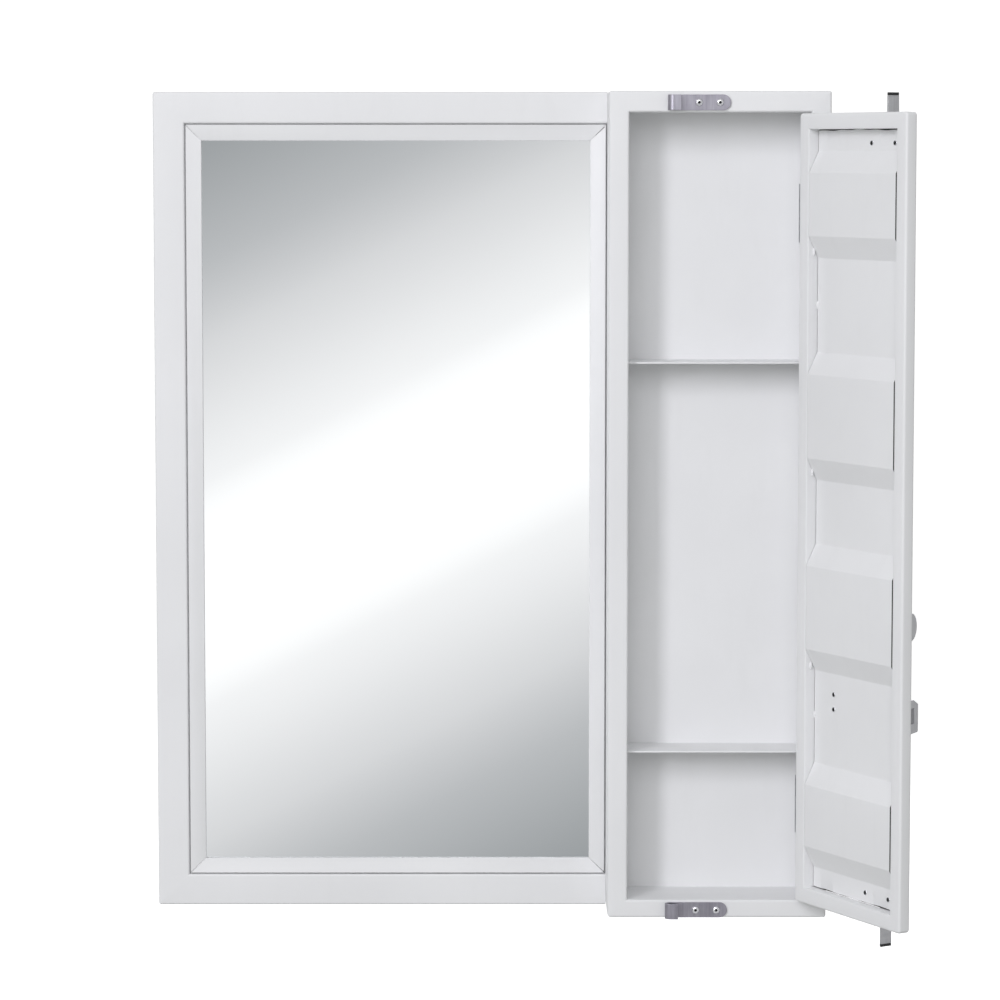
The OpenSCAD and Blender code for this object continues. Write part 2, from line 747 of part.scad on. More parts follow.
module ring_on_bar(z, h, outer, screws) difference() {
    translate([0, 0, z]) cylinder(r = outer, h = h);
    translate([0, 0, z - 1]) cylinder(r = bar_r + play, h = h + 2);
    at_set_screws(screws) cylinder(r = rivet_r + play, h = outer + 2);
}

collar_screw_z = [for (z = collar_z) z + collar_h / 2];
sleeve_screw_z = [272, 302];

module bar_collars() color(bright) on_bar()
    for (k = [0, 1]) ring_on_bar(collar_z[k], collar_h, collar_r, [collar_screw_z[k]]);

module collar_screws() color(black) on_bar() at_set_screws(collar_screw_z) set_screw(collar_r);

module handle_sleeve() color(steel) on_bar() ring_on_bar(sleeve_z, sleeve_h, sleeve_r, sleeve_screw_z);

module sleeve_screws() color(black) on_bar() at_set_screws(sleeve_screw_z) set_screw(sleeve_r);

// Flat arm, drawn in the X-Z plane and welded to the sleeve
module arm() difference() {
    translate([0, arm_t / 2, 0]) rotate([90, 0, 0]) linear_extrude(arm_t) children();
    translate([0, 0, sleeve_z]) cylinder(r = sleeve_r, h = sleeve_h);
}

// Hand lever with a rounded tip
module hand_lever() color(steel) on_bar() arm() {
    tip_r = lever_h / 2;
    translate([8, lever_z]) square([lever_reach - tip_r - 8, lever_h]);
    translate([lever_reach - tip_r, lever_z + tip_r]) circle(tip_r);
}

// Tongue with a sloping top corner, slotted for the catch's staple
module latch_tongue() color(steel) on_bar() arm() difference() {
    tongue_top = tongue_z + tongue_h;
    polygon([
        [8, tongue_z], [tongue_reach - tongue_cut, tongue_z], [tongue_reach, tongue_z + tongue_cut],
        [tongue_reach, tongue_top - tongue_slope[1]], [tongue_reach - tongue_slope[0], tongue_top],
        [8, tongue_top],
    ]);
    translate([slot_from, slot_z]) square([slot_to - slot_from, slot_h]);
}

frame_left_stile();
frame_top_rail();
frame_bottom_rail();
trim_left();
trim_right();
trim_top();
trim_bottom();
groove_seal();
glazing_tape();
mirror_glass();
mirror_backing();
retaining_clips();
clip_screws();
joining_brackets();
joining_screws();
hanger_plate_left();
hanger_plate_right();
cabinet_left_post();
cabinet_right_post();
cabinet_top_rail();
cabinet_bottom_rail();
back_panel();
upper_shelf();
lower_shelf();
keeper_top();
keeper_bottom();
keeper_screws();
upper_frame_leaf();
lower_frame_leaf();
upper_hinge_pin();
lower_hinge_pin();
frame_leaf_screws();
door_hinge_stile();
door_free_stile();
door_top_rail();
door_bottom_rail();
door_panel();
upper_door_leaf();
lower_door_leaf();
door_leaf_screws();
upper_bar_bracket();
lower_bar_bracket();
bar_bushes();
bracket_rivets();
catch_plate();
catch_rivets();
locking_bar();
bar_caps();
bar_collars();
collar_screws();
handle_sleeve();
hand_lever();
latch_tongue();
sleeve_screws();
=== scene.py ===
import math
import json

import bmesh
import bpy
from mathutils import Matrix, Vector


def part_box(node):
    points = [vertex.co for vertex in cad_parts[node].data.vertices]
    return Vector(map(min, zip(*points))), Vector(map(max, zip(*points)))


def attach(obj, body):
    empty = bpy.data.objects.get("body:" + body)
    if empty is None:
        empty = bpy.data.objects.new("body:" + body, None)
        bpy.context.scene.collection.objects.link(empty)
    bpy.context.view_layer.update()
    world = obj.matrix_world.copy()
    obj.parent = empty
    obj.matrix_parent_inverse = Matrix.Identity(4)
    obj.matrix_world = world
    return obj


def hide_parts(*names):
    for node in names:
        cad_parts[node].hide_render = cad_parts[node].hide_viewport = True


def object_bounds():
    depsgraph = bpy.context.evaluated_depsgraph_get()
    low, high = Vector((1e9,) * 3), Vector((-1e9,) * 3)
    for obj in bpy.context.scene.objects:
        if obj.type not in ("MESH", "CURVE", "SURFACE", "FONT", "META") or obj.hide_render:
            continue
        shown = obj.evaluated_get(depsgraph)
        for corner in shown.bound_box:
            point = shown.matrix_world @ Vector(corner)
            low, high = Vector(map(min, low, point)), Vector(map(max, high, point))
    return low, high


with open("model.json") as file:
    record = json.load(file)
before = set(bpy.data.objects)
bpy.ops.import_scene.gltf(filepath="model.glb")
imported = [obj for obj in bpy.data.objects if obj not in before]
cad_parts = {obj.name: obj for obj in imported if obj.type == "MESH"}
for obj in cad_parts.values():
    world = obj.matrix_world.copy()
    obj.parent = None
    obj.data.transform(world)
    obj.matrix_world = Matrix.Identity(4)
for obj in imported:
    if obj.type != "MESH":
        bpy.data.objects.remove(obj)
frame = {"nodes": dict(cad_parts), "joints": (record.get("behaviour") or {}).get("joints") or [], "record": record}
cad_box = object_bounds()

MM = 0.001
SAME_POINT = 0.002 * MM  # vertices closer than this are one
BODY_OF = {
    node: body
    for body, nodes in frame["record"]["behaviour"]["bodies"].items()
    for node in nodes
}
SLOT_OF = {row["node"]: row["material_slot"] for row in frame["record"]["subparts"]}


# --- Materials ----------------------------------------------------------------------------


def fill_ramp(ramp, stops):
    """Sets a colour ramp's stops: each is (position, (r, g, b))."""
    elements = ramp.color_ramp.elements
    while len(elements) < len(stops):
        elements.new(0.5)
    for element, (position, colour) in zip(elements, stops):
        element.position = position
        element.color = (*colour, 1)


class Shader:
    """A node material built up in a few lines: noise fields feed colour, roughness and bump."""

    def __init__(self, name, metallic, roughness, **fixed):
        self.material = bpy.data.materials.new(name)
        self.material.use_nodes = True
        self.tree = self.material.node_tree
        self.surface = self.tree.nodes["Principled BSDF"]
        self.surface.inputs["Metallic"].default_value = metallic
        self.surface.inputs["Roughness"].default_value = roughness
        for socket, value in fixed.items():
            self.surface.inputs[socket.replace("_", " ")].default_value = value
        self.place = self.tree.nodes.new("ShaderNodeTexCoord").outputs["Object"]

    def add(self, kind, **values):
        node = self.tree.nodes.new(kind)
        for key, value in values.items():
            setattr(node, key, value)
        return node

    def link(self, output, socket):
        self.tree.links.new(output, socket)

    def stretched(self, scale):
        mapping = self.add("ShaderNodeMapping")
        mapping.inputs["Scale"].default_value = scale
        self.link(self.place, mapping.inputs["Vector"])
        return mapping.outputs["Vector"]

    def noise(self, scale, detail=3.0, stretch=(1, 1, 1), rough=0.55):
        node = self.add("ShaderNodeTexNoise")
        node.inputs["Scale"].default_value = scale
        node.inputs["Detail"].default_value = detail
        node.inputs["Roughness"].default_value = rough
        self.link(self.stretched(stretch), node.inputs["Vector"])
        return node.outputs["Fac"]

    def cells(self, scale):
        node = self.add("ShaderNodeTexVoronoi")
        node.inputs["Scale"].default_value = scale
        self.link(self.place, node.inputs["Vector"])
        return node.outputs["Color"]

    def spread(self, field, low, high, start=0.3, end=0.7):
        """The field's range start..end mapped to low..high."""
        node = self.add("ShaderNodeMapRange")
        ends = {"From Min": start, "From Max": end, "To Min": low, "To Max": high}
        for socket, value in ends.items():
            node.inputs[socket].default_value = value
        self.link(field, node.inputs["Value"])
        return node.outputs["Result"]

    def colours(self, field, *stops):
        """Colour ramp over the field, through stops of (position, (r, g, b))."""
        ramp = self.add("ShaderNodeValToRGB")
        fill_ramp(ramp, stops)
        self.link(field, ramp.inputs["Fac"])
        return ramp.outputs["Color"]

    def tint(self, colour, other, field):
        """The colour multiplied by the other one, as strongly as the field says."""
        mix = self.add("ShaderNodeMix", data_type="RGBA", blend_type="MULTIPLY")
        self.link(field, mix.inputs["Factor"])
        self.link(colour, mix.inputs["A"])
        mix.inputs["B"].default_value = (*other, 1)
        return mix.outputs["Result"]

    def paint(self, colour):
        self.link(colour, self.surface.inputs["Base Color"])

    def gloss(self, roughness):
        self.link(roughness, self.surface.inputs["Roughness"])

    def bump(self, *layers):
        """Layers are (field, strength, distance), each laid over the one before."""
        below = None
        for field, strength, distance in layers:
            node = self.add("ShaderNodeBump")
            node.inputs["Strength"].default_value = strength
            node.inputs["Distance"].default_value = distance
            self.link(field, node.inputs["Height"])
            if below is not None:
                self.link(below, node.inputs["Normal"])
            below = node.outputs["Normal"]
        self.link(below, self.surface.inputs["Normal"])


def powder_coat():
    """Cool white powder coat on steel: orange peel, faint clouding and scuffs."""
    s = Shader("white_powder_coat", 0.0, 0.45, Specular_IOR_Level=0.35)
    clouds = s.noise(5.0, 4.0)
    scuffs = s.noise(38.0, 6.0, (1, 1, 0.25), 0.7)
    base = s.colours(clouds, (0.3, (0.765, 0.768, 0.774)), (0.7, (0.803, 0.806, 0.812)))
    s.paint(s.tint(base, (0.95, 0.95, 0.945), s.spread(scuffs, 0.0, 0.35, 0.55, 0.75)))
    s.gloss(s.spread(scuffs, 0.4, 0.52))
    s.bump((s.noise(700.0, 2.0), 0.12, 0.0003), (s.noise(110.0, 2.0), 0.10, 0.0006))
    return s.material


def mirror():
    """Silvered float glass with a breath of haze."""
    s = Shader("silvered_glass", 1.0, 0.02)
    haze = s.noise(3.2, 5.0)
    s.paint(s.colours(haze, (0.3, (0.93, 0.945, 0.95)), (0.7, (0.945, 0.957, 0.96))))
    s.gloss(s.spread(haze, 0.012, 0.03))
    s.bump((s.noise(2.0, 1.0), 0.02, 0.0004))
    return s.material


def satin_steel():
    """Satin steel with a fine grain along the length of the part."""
    s = Shader("satin_steel", 1.0, 0.38)
    grain = s.noise(420.0, 4.0, (1, 1, 0.06), 0.7)
    smears = s.noise(55.0, 4.0)
    base = s.colours(grain, (0.25, (0.29, 0.28, 0.315)), (0.75, (0.40, 0.39, 0.43)))
    s.paint(s.tint(base, (0.82, 0.8, 0.84), s.spread(smears, 0.0, 0.6)))
    s.gloss(s.spread(grain, 0.3, 0.46))
    s.bump((grain, 0.16, 0.00012))
    return s.material


def brushed_steel():
    """Bare steel of the locking bar and what is fixed to it, brushed along its length."""
    s = Shader("brushed_steel", 1.0, 0.34)
    grain = s.noise(380.0, 4.0, (1, 1, 0.04), 0.7)
    rings = s.noise(210.0, 3.0, (0.1, 0.1, 1))
    base = s.colours(grain, (0.25, (0.44, 0.44, 0.452)), (0.75, (0.56, 0.56, 0.572)))
    s.paint(s.tint(base, (0.8, 0.8, 0.81), s.spread(rings, 0.0, 0.5, 0.45, 0.75)))
    s.gloss(s.spread(grain, 0.3, 0.44))
    s.bump((grain, 0.14, 0.00012))
    return s.material


def dark_steel():
    """Blackened steel of the small screws, rubbed brighter in patches."""
    s = Shader("blackened_steel", 0.85, 0.4)
    grain = s.noise(300.0, 4.0, (1, 1, 0.05), 0.7)
    rubbed = s.noise(26.0, 5.0, (1, 1, 0.4), 0.65)
    s.paint(s.colours(rubbed, (0.35, (0.018, 0.018, 0.02)), (0.75, (0.06, 0.06, 0.065))))
    s.gloss(s.spread(grain, 0.34, 0.5))
    s.bump((grain, 0.12, 0.00012))
    return s.material


def bright_steel():
    """Bright plated screws and rivets."""
    s = Shader("bright_plating", 1.0, 0.2)
    marks = s.noise(650.0, 3.0)
    s.paint(s.colours(marks, (0.3, (0.70, 0.70, 0.72)), (0.7, (0.84, 0.84, 0.86))))
    s.gloss(s.spread(marks, 0.14, 0.3))
    s.bump((marks, 0.08, 0.0001))
    return s.material


def zinc():
    """Zinc plating: soft crystal patches over a fine tooth."""
    s = Shader("zinc_plating", 1.0, 0.36)
    patches = s.cells(170.0)
    tooth = s.noise(480.0, 3.0)
    s.paint(s.colours(patches, (0.0, (0.50, 0.51, 0.53)), (1.0, (0.66, 0.67, 0.69))))
    s.gloss(s.spread(tooth, 0.28, 0.44))
    s.bump((tooth, 0.1, 0.00015))
    return s.material


def black_plastic():
    """Moulded black plastic with a fine matt texture."""
    s = Shader("black_plastic", 0.0, 0.5)
    texture = s.noise(900.0, 2.0)
    s.paint(s.colours(s.noise(60.0), (0.3, (0.006, 0.006, 0.007)), (0.7, (0.014, 0.014, 0.015))))
    s.gloss(s.spread(texture, 0.42, 0.58))
    s.bump((texture, 0.2, 0.0001))
    return s.material


def seal_rubber():
    """Dusty grey sealing strip."""
    s = Shader("seal_rubber", 0.0, 0.75)
    dust = s.noise(90.0, 5.0)
    s.paint(s.colours(dust, (0.35, (0.40, 0.40, 0.405)), (0.75, (0.50, 0.50, 0.505))))
    s.gloss(s.spread(dust, 0.65, 0.85))
    s.bump((s.noise(500.0), 0.15, 0.0001))
    return s.material


def pressed_board():
    """Brown pressed board behind the glass: matted fibres and a few darker flecks."""
    s = Shader("pressed_board", 0.0, 0.72)
    fibres = s.noise(260.0, 6.0, (0.35, 1, 1), 0.75)
    flecks = s.noise(120.0, 5.0)
    base = s.colours(fibres, (0.25, (0.105, 0.062, 0.034)), (0.75, (0.21, 0.135, 0.078)))
    s.paint(s.tint(base, (0.55, 0.5, 0.45), s.spread(flecks, 0.0, 0.7, 0.58, 0.75)))
    s.gloss(s.spread(fibres, 0.62, 0.82))
    s.bump((fibres, 0.35, 0.0003))
    return s.material


def painted_shade_material():
    """Painted shade: near-black standing in for the unlit inside of a hollow rivet, a screw's socket and the
    pressed sheet's seams.
    """
    s = Shader("painted_shade_black", 0.0, 0.8)
    s.paint(s.colours(s.noise(400.0), (0.3, (0.004, 0.004, 0.004)), (0.7, (0.012, 0.012, 0.012))))
    return s.material


FINISH = {
    "white_paint": powder_coat(),
    "mirror_glass": mirror(),
    "backing_board": pressed_board(),
    "black_seal": seal_rubber(),
    "black_plastic": black_plastic(),
    "bush_plastic": black_plastic(),
    "satin_steel": satin_steel(),
    "bright_steel": bright_steel(),
    "black_screw": dark_steel(),
    "zinc_steel": zinc(),
}
BRUSHED_STEEL = brushed_steel()
# Near-black painted shade for rivet bores, screw sockets and the sheet's seams.
PAINTED_SHADE = painted_shade_material()


# --- Shapes -------------------------------------------------------------------------------


def made(name, bm, materials, body, *stands_for, slot="white_paint", smooth=40.0):
    """Finishes a piece: mesh, smooth shading by angle, materials, body and what it replaces."""
    bmesh.ops.recalc_face_normals(bm, faces=bm.faces)
    mesh = bpy.data.meshes.new(name)
    bm.to_mesh(mesh)
    bm.free()
    mesh.shade_smooth()
    mesh.set_sharp_from_angle(angle=math.radians(smooth))
    for material in materials:
        mesh.materials.append(material)
    piece = bpy.data.objects.new(name, mesh)
    bpy.context.scene.collection.objects.link(piece)
    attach(piece, body)
    if stands_for:
        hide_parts(*stands_for)
    return piece


def clean_mesh(node):
    """The CAD node's shape as a bmesh of large flat faces, ready for bevelling."""
    bm = bmesh.new()
    bm.from_mesh(frame["nodes"][node].data)
    bm.transform(frame["nodes"][node].matrix_world)
    bmesh.ops.remove_doubles(bm, verts=bm.verts, dist=SAME_POINT)
    flat = math.radians(0.6)
    bmesh.ops.dissolve_limit(bm, angle_limit=flat, verts=bm.verts, edges=bm.edges)
    return bm


def is_mitre(face):
    """True for the slanting end of a frame member, where it meets the next one."""
    n = face.normal
    upright = abs(n.y) < 0.05
    slanting = min(abs(n.x), abs(n.z)) > 0.5
    return upright and slanting and face.calc_area() > 60 * MM * MM


def eased(node, width, welded=False):
    """The node's own shape, in its place, with its hard edges rounded a little.

    A welded member's mitred ends stay sharp, so that no seam shows between it and the next."""
    bm = clean_mesh(node)
    bm.normal_update()
    weight = bm.edges.layers.float.new("bevel_weight_edge")
    for edge in bm.edges:
        at_weld = welded and any(is_mitre(face) for face in edge.link_faces)
        if edge.calc_face_angle(0.0) > math.radians(38) and not at_weld:
            edge[weight] = 1.0
    slot = SLOT_OF[node]
    piece = made(node + "_eased", bm, [FINISH[slot]], BODY_OF[node], node, slot=slot)
    bevel = piece.modifiers.new("Eased edges", "BEVEL")
    bevel.width = width * MM
    bevel.segments = 2
    bevel.limit_method = "WEIGHT"
    bevel.use_clamp_overlap = False
    bevel.harden_normals = True
    return piece


def islands(node):
    """The points of each separate solid in a CAD node."""
    bm = bmesh.new()
    bm.from_mesh(frame["nodes"][node].data)
    bmesh.ops.remove_doubles(bm, verts=bm.verts, dist=SAME_POINT)
    left = set(bm.verts)
    found = []
    while left:
        stack = [left.pop()]
        group = list(stack)
        while stack:
            for edge in stack.pop().link_edges:
                for vert in edge.verts:
                    if vert in left:
                        left.remove(vert)
                        stack.append(vert)
                        group.append(vert)
        found.append([vert.co.copy() for vert in group])
    bm.free()
    return found


def limits(points):
    """Lowest and highest corner of the points' box."""
    low = Vector(min(p[k] for p in points) for k in range(3))
    high = Vector(max(p[k] for p in points) for k in range(3))
    return low, high


def spun(bm, profile, place, hexagons=(), steps=48):
    """Solid of revolution about local Z: profile is (radius, height) from axis to axis, in mm.

    The profile points numbered in hexagons are six-sided, with that half width across flats."""
    rings = []
    for index, (radius, height) in enumerate(profile):
        if radius == 0:
            rings.append([bm.verts.new(place @ Vector((0, 0, height * MM)))])
            continue
        turned = []
        for k in range(steps):
            a = 2 * math.pi * k / steps
            r = radius * MM
            if index in hexagons:
                r /= math.cos(a % math.radians(60) - math.radians(30))
            point = Vector((r * math.cos(a), r * math.sin(a), height * MM))
            turned.append(bm.verts.new(place @ point))
        rings.append(turned)
    faces = []
    for lower, upper in zip(rings, rings[1:]):
        for k in range(steps):
            n = (k + 1) % steps
            if len(lower) == 1:
                faces.append(bm.faces.new((lower[0], upper[n], upper[k])))
            elif len(upper) == 1:
                faces.append(bm.faces.new((lower[k], lower[n], upper[0])))
            else:
                faces.append(bm.faces.new((lower[k], lower[n], upper[n], upper[k])))
    return faces


def arc(centre, radius, start, end, steps):
    """Points of an arc in two dimensions, angles in degrees."""
    points = []
    for k in range(steps + 1):
        a = math.radians(start + (end - start) * k / steps)
        points.append((centre[0] + radius * math.cos(a), centre[1] + radius * math.sin(a)))
    return points


def filleted(points, radius, steps=4):
    """A polyline in two dimensions with each inner corner rounded to the radius."""
    out = [points[0]]
    for before, at, after in zip(points, points[1:], points[2:]):
        to_before = (Vector(before) - Vector(at)).normalized()
        to_after = (Vector(after) - Vector(at)).normalized()
        half = math.acos(max(-1.0, min(1.0, to_before.dot(to_after)))) / 2
        back = radius / math.tan(half)
        start = Vector(at) + to_before * back
        end = Vector(at) + to_after * back
        for k in range(steps + 1):
            t = k / steps
            point = start * (1 - t) ** 2 + Vector(at) * 2 * t * (1 - t) + end * t * t
            out.append(tuple(point))
    out.append(points[-1])
    return out


# --- The door: laid out shut, then turned open about its hinge ----------------------------

HINGE = next(j for j in frame["joints"] if j["name"] == "door_hinge")
PIN = Vector(HINGE["pos_m"])
OPENED = math.radians(-HINGE["range_deg"][0])
TO_REST = Matrix.Translation(PIN) @ Matrix.Rotation(OPENED, 4, "Z") @ Matrix.Translation(-PIN)
TO_CLOSED = TO_REST.inverted()


def closed_box(*nodes):
    """Box of CAD nodes on the door, with the door shut."""
    points = [TO_CLOSED @ v.co for n in nodes for v in frame["nodes"][n].data.vertices]
    return limits(points)


def paint_shade(faces):
    """Gives the faces their piece's second material, the near-black painted shade."""
    for face in faces:
        face.material_index = 1


def ring(bm, low, high, profile, corner, steps=6):
    """Sweeps a closed profile round the rectangle low..high in the X-Z plane.

    The profile is (inset from the outer edge, y); the outer corners have the given radius."""
    loops = []
    corners = (
        (high.x, high.z, 0.0), (low.x, high.z, 90.0), (low.x, low.z, 180.0), (high.x, low.z, 270.0),
    )
    for inset, y in profile:
        radius = max(corner - inset, 0.05 * MM)
        loop = []
        for x, z, start in corners:
            sx = -1 if x == high.x else 1
            sz = -1 if z == high.z else 1
            centre = (x + sx * (inset + radius), z + sz * (inset + radius))
            for px, pz in arc(centre, radius, start, start + 90, steps):
                loop.append(bm.verts.new(Vector((px, y, pz))))
        loops.append(loop)
    count = len(loops[0])
    for near, far in zip(loops, loops[1:] + loops[:1]):
        for k in range(count):
            n = (k + 1) % count
            bm.faces.new((near[k], near[n], far[n], far[k]))


DOOR_LOW, DOOR_HIGH = closed_box("door_hinge_stile", "door_free_stile")
RAIL_LOW, RAIL_HIGH = closed_box("door_bottom_rail")
MEMBER = RAIL_HIGH.z - RAIL_LOW.z
FRONT, INSIDE = DOOR_LOW.y, DOOR_HIGH.y


def door_frame():
    """Stiles and rails as one welded and dressed frame with soft folded edges."""
    fold = 2.5 * MM
    inner_fold = 1.3 * MM
    profile = (
        arc((fold, FRONT + fold), fold, 180, 270, 5)
        + arc((MEMBER - inner_fold, FRONT + inner_fold), inner_fold, 270, 360, 4)
        + arc((MEMBER - inner_fold, INSIDE - inner_fold), inner_fold, 0, 90, 4)
        + arc((fold, INSIDE - fold), fold, 90, 180, 5)
    )
    bm = bmesh.new()
    ring(bm, DOOR_LOW, DOOR_HIGH, profile, 4 * MM)
    bm.transform(TO_REST)
    made(
        "door_frame", bm, [FINISH["white_paint"]], "door",
        "door_hinge_stile", "door_free_stile", "door_top_rail", "door_bottom_rail",
    )


SKIN = 1.0 * MM  # thickness of the pressed sheet


def door_skin():
    """The pressed sheet with rounded bends. Seams stay open along its ends and sides; their slanted faces carry
    near-black painted shade.
    """
    low, high = closed_box("door_panel")
    middle = (low.z + high.z) / 2
    rib_y = high.y - SKIN
    half_land, slope, inner_rib, outer_land, outer_rib = 35, 24, 92, 102.5, 68.5
    bends = (
        (half_land, low.y), (slope, rib_y), (inner_rib, rib_y), (slope, low.y),
        (outer_land, low.y), (slope, rib_y), (outer_rib, rib_y), (slope, low.y),
    )
    up = []
    z = 0.0
    for step, y in bends:
        z += step * MM
        up.append((z, y))
    up.append(((high.z - low.z) / 2, low.y))
    outline = [(-z, y) for z, y in reversed(up)] + up
    section = filleted(outline, 3.5 * MM, 5)
    bm = bmesh.new()
    columns = []
    across = 36
    for i in range(across + 1):
        t = i / across
        x = low.x + (high.x - low.x) * t
        inner_x = min(max(x, low.x + 1.05 * MM), high.x - 0.5 * MM)
        end_seam = (0.9 + 0.45 * math.sin(9.0 * t) + 0.3 * math.sin(31.0 * t + 1)) * MM
        outer = [bm.verts.new((x, y, middle + z)) for z, y in section]
        inner = [bm.verts.new((inner_x, y + SKIN, middle + z)) for z, y in section]
        inner[0].co.z += end_seam
        inner[-1].co.z -= end_seam
        columns.append((outer, inner))
    last = len(section) - 1
    for (out_a, in_a), (out_b, in_b) in zip(columns, columns[1:]):
        for k in range(last):
            bm.faces.new((out_a[k], out_b[k], out_b[k + 1], out_a[k + 1]))
            bm.faces.new((in_a[k], in_a[k + 1], in_b[k + 1], in_b[k]))
        # Painted shade on the seam faces at the sheet's top and bottom ends.
        paint_shade(bm.faces.new((out_a[k], in_a[k], in_b[k], out_b[k])) for k in (0, last))
    # Painted shade on the seam faces along the sheet's two sides.
    for k in range(last):
        for outer, inner in (columns[0], columns[-1]):
            paint_shade([bm.faces.new((outer[k], outer[k + 1], inner[k + 1], inner[k]))])
    bm.transform(TO_REST)
    made("door_pressed_sheet", bm, [FINISH["white_paint"], PAINTED_SHADE], "door", "door_panel")


# --- Fasteners and small details ----------------------------------------------------------

OUTWARDS = Matrix.Rotation(math.radians(90), 4, "X")  # local Z to the front, -Y
TURNED_STEPS = 48
RIVET_HEAD = 1.6  # height of a rivet's domed head, mm


def hollow_rivets(node):
    """Rivets with a domed head outside and a rolled, hollow tail inside the door."""
    bm = bmesh.new()
    for points in islands(node):
        low, high = limits([TO_CLOSED @ p for p in points])
        shoulder = (high.y - low.y) / MM - RIVET_HEAD
        tail = Vector(((low.x + high.x) / 2, high.y, (low.z + high.z) / 2))
        bore = [(0, 0.55), (1.5, 0.52), (1.95, 0.4), (2.05, 0.2)]
        rim = [(2.2, 0.05), (2.4, 0.0), (2.62, 0.06), (2.8, 0.25), (2.88, 0.6), (2.7, 0.8)]
        shank = [(2.0, 0.82), (2.0, shoulder), (3.7, shoulder), (3.95, shoulder + 0.15)]
        dome = ((3.8, 0.45), (3.2, 0.95), (2.2, 1.35), (1.1, 1.55), (0, RIVET_HEAD))
        head = [(radius, shoulder + height) for radius, height in dome]
        place = TO_REST @ Matrix.Translation(tail) @ OUTWARDS
        faces = spun(bm, bore + rim + shank + head, place, steps=TURNED_STEPS)
        # Painted shade: the bore of the hollow tail is near-black.
        paint_shade(faces[: len(bore) * TURNED_STEPS])
    made(node + "_made", bm, [FINISH["bright_steel"], PAINTED_SHADE], "door", node, slot="bright_steel")


def keeper_screws():
    """Button-head screws with a six-sided socket, through both keepers."""
    bm = bmesh.new()
    for points in islands("keeper_screws"):
        low, high = limits(points)
        tip = Vector(((low.x + high.x) / 2, low.y, (low.z + high.z) / 2))
        length = (high.y - low.y) / MM
        socket = [(0, -1.7), (1.35, -1.65), (1.4, -0.25)]
        crown = [(1.75, -0.02), (2.3, -0.08), (3.1, -0.42), (3.8, -1.05), (4.2, -1.75), (4.28, -2.3)]
        shank = [(4.15, -2.4), (2.0, -2.42), (2.0, -length + 0.4), (1.6, -length), (0, -length)]
        place = Matrix.Translation(tip) @ OUTWARDS
        faces = spun(bm, socket + crown + shank, place, hexagons=(1, 2), steps=TURNED_STEPS)
        # Painted shade: the six-sided socket is near-black.
        paint_shade(faces[: 2 * TURNED_STEPS])
    made(
        "keeper_screws_made", bm, [FINISH["bright_steel"], PAINTED_SHADE], "cabinet", "keeper_screws",
        slot="bright_steel",
    )


def weld_beads():
    """Short weld beads that hold the pressed sheet's slopes and lands to the hinge stile."""
    low, high = closed_box("door_panel")
    middle = (low.z + high.z) / 2
    land_y = low.y + SKIN
    slope_y = (low.y + high.y) / 2
    beads = [(284, slope_y), (43, slope_y), (-170, slope_y), (226, land_y), (-225, land_y)]
    radius = 1.7
    length = 9.0
    rows = 24
    ripples = 5
    profile = [(0, -length / 2)]
    for k in range(1, rows):
        t = k / rows
        swell = math.sqrt(math.sin(math.pi * t)) * (1 + 0.13 * math.sin(2 * math.pi * ripples * t))
        profile.append((radius * swell, length * (t - 0.5)))
    profile.append((0, length / 2))
    bm = bmesh.new()
    for above, y in beads:
        at = Vector((high.x - 0.6 * MM, y, middle + above * MM))
        spun(bm, profile, TO_REST @ Matrix.Translation(at), steps=20)
    made("door_weld_beads", bm, [FINISH["white_paint"]], "door", smooth=60.0)


def open_mitres(trim, inner_x, outer_x, low_z, high_z, gap):
    """Opens the trim's corner joints slightly towards the outside, as the fitted trims stand."""
    for vertex in bpy.data.objects[trim].data.vertices:
        slack = gap * MM * (vertex.co.x - inner_x) / (outer_x - inner_x)
        if vertex.co.z > high_z + 0.01 * MM:
            vertex.co.z -= slack
        elif vertex.co.z < low_z - 0.01 * MM:
            vertex.co.z += slack


def trim_corners():
    """Opens the four corners of the inner trim, a little more on the cabinet's side."""
    left_low, left_high = limits(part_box("trim_left"))
    right_low, right_high = limits(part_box("trim_right"))
    low_z = limits(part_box("trim_bottom"))[1].z
    high_z = limits(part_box("trim_top"))[0].z
    open_mitres("trim_left_eased", left_high.x, left_low.x, low_z, high_z, 0.5)
    open_mitres("trim_right_eased", right_low.x, right_high.x, low_z, high_z, 1.5)


# --- The object ---------------------------------------------------------------------------

door_frame()
door_skin()
weld_beads()
hollow_rivets("bracket_rivets")
hollow_rivets("catch_rivets")
keeper_screws()

EASE = {  # how far each node's hard edges are rounded, mm
    "locking_bar": 0.5, "bar_caps": 0.6, "hand_lever": 1.0, "latch_tongue": 0.8, "catch_plate": 0.6,
    "trim_left": 0.45, "trim_right": 0.45, "trim_top": 0.45, "trim_bottom": 0.45,
}
COMMON_EASE = 0.35
WELDED = (
    "frame_left_stile", "frame_top_rail", "frame_bottom_rail", "cabinet_left_post",
    "cabinet_right_post", "cabinet_top_rail", "cabinet_bottom_rail",
)
BRUSHED = ("locking_bar", "handle_sleeve", "hand_lever", "latch_tongue", "bar_collars")
PLAIN = (
    "mirror_glass", "mirror_backing", "groove_seal", "glazing_tape",
    "clip_screws", "joining_screws", "frame_leaf_screws", "door_leaf_screws",
    "collar_screws", "sleeve_screws", "upper_hinge_pin", "lower_hinge_pin",
    "upper_frame_leaf", "lower_frame_leaf", "upper_door_leaf", "lower_door_leaf",
)
for node, obj in frame["nodes"].items():
    if obj.hide_render:
        continue
    if node in PLAIN:
        obj.data.materials.clear()
        obj.data.materials.append(FINISH[SLOT_OF[node]])
    else:
        piece = eased(node, EASE.get(node, COMMON_EASE), node in WELDED)
        if node in BRUSHED:
            piece.data.materials[0] = BRUSHED_STEEL
trim_corners()


# --- Studio: camera, lights and floor -----------------------------------------------------

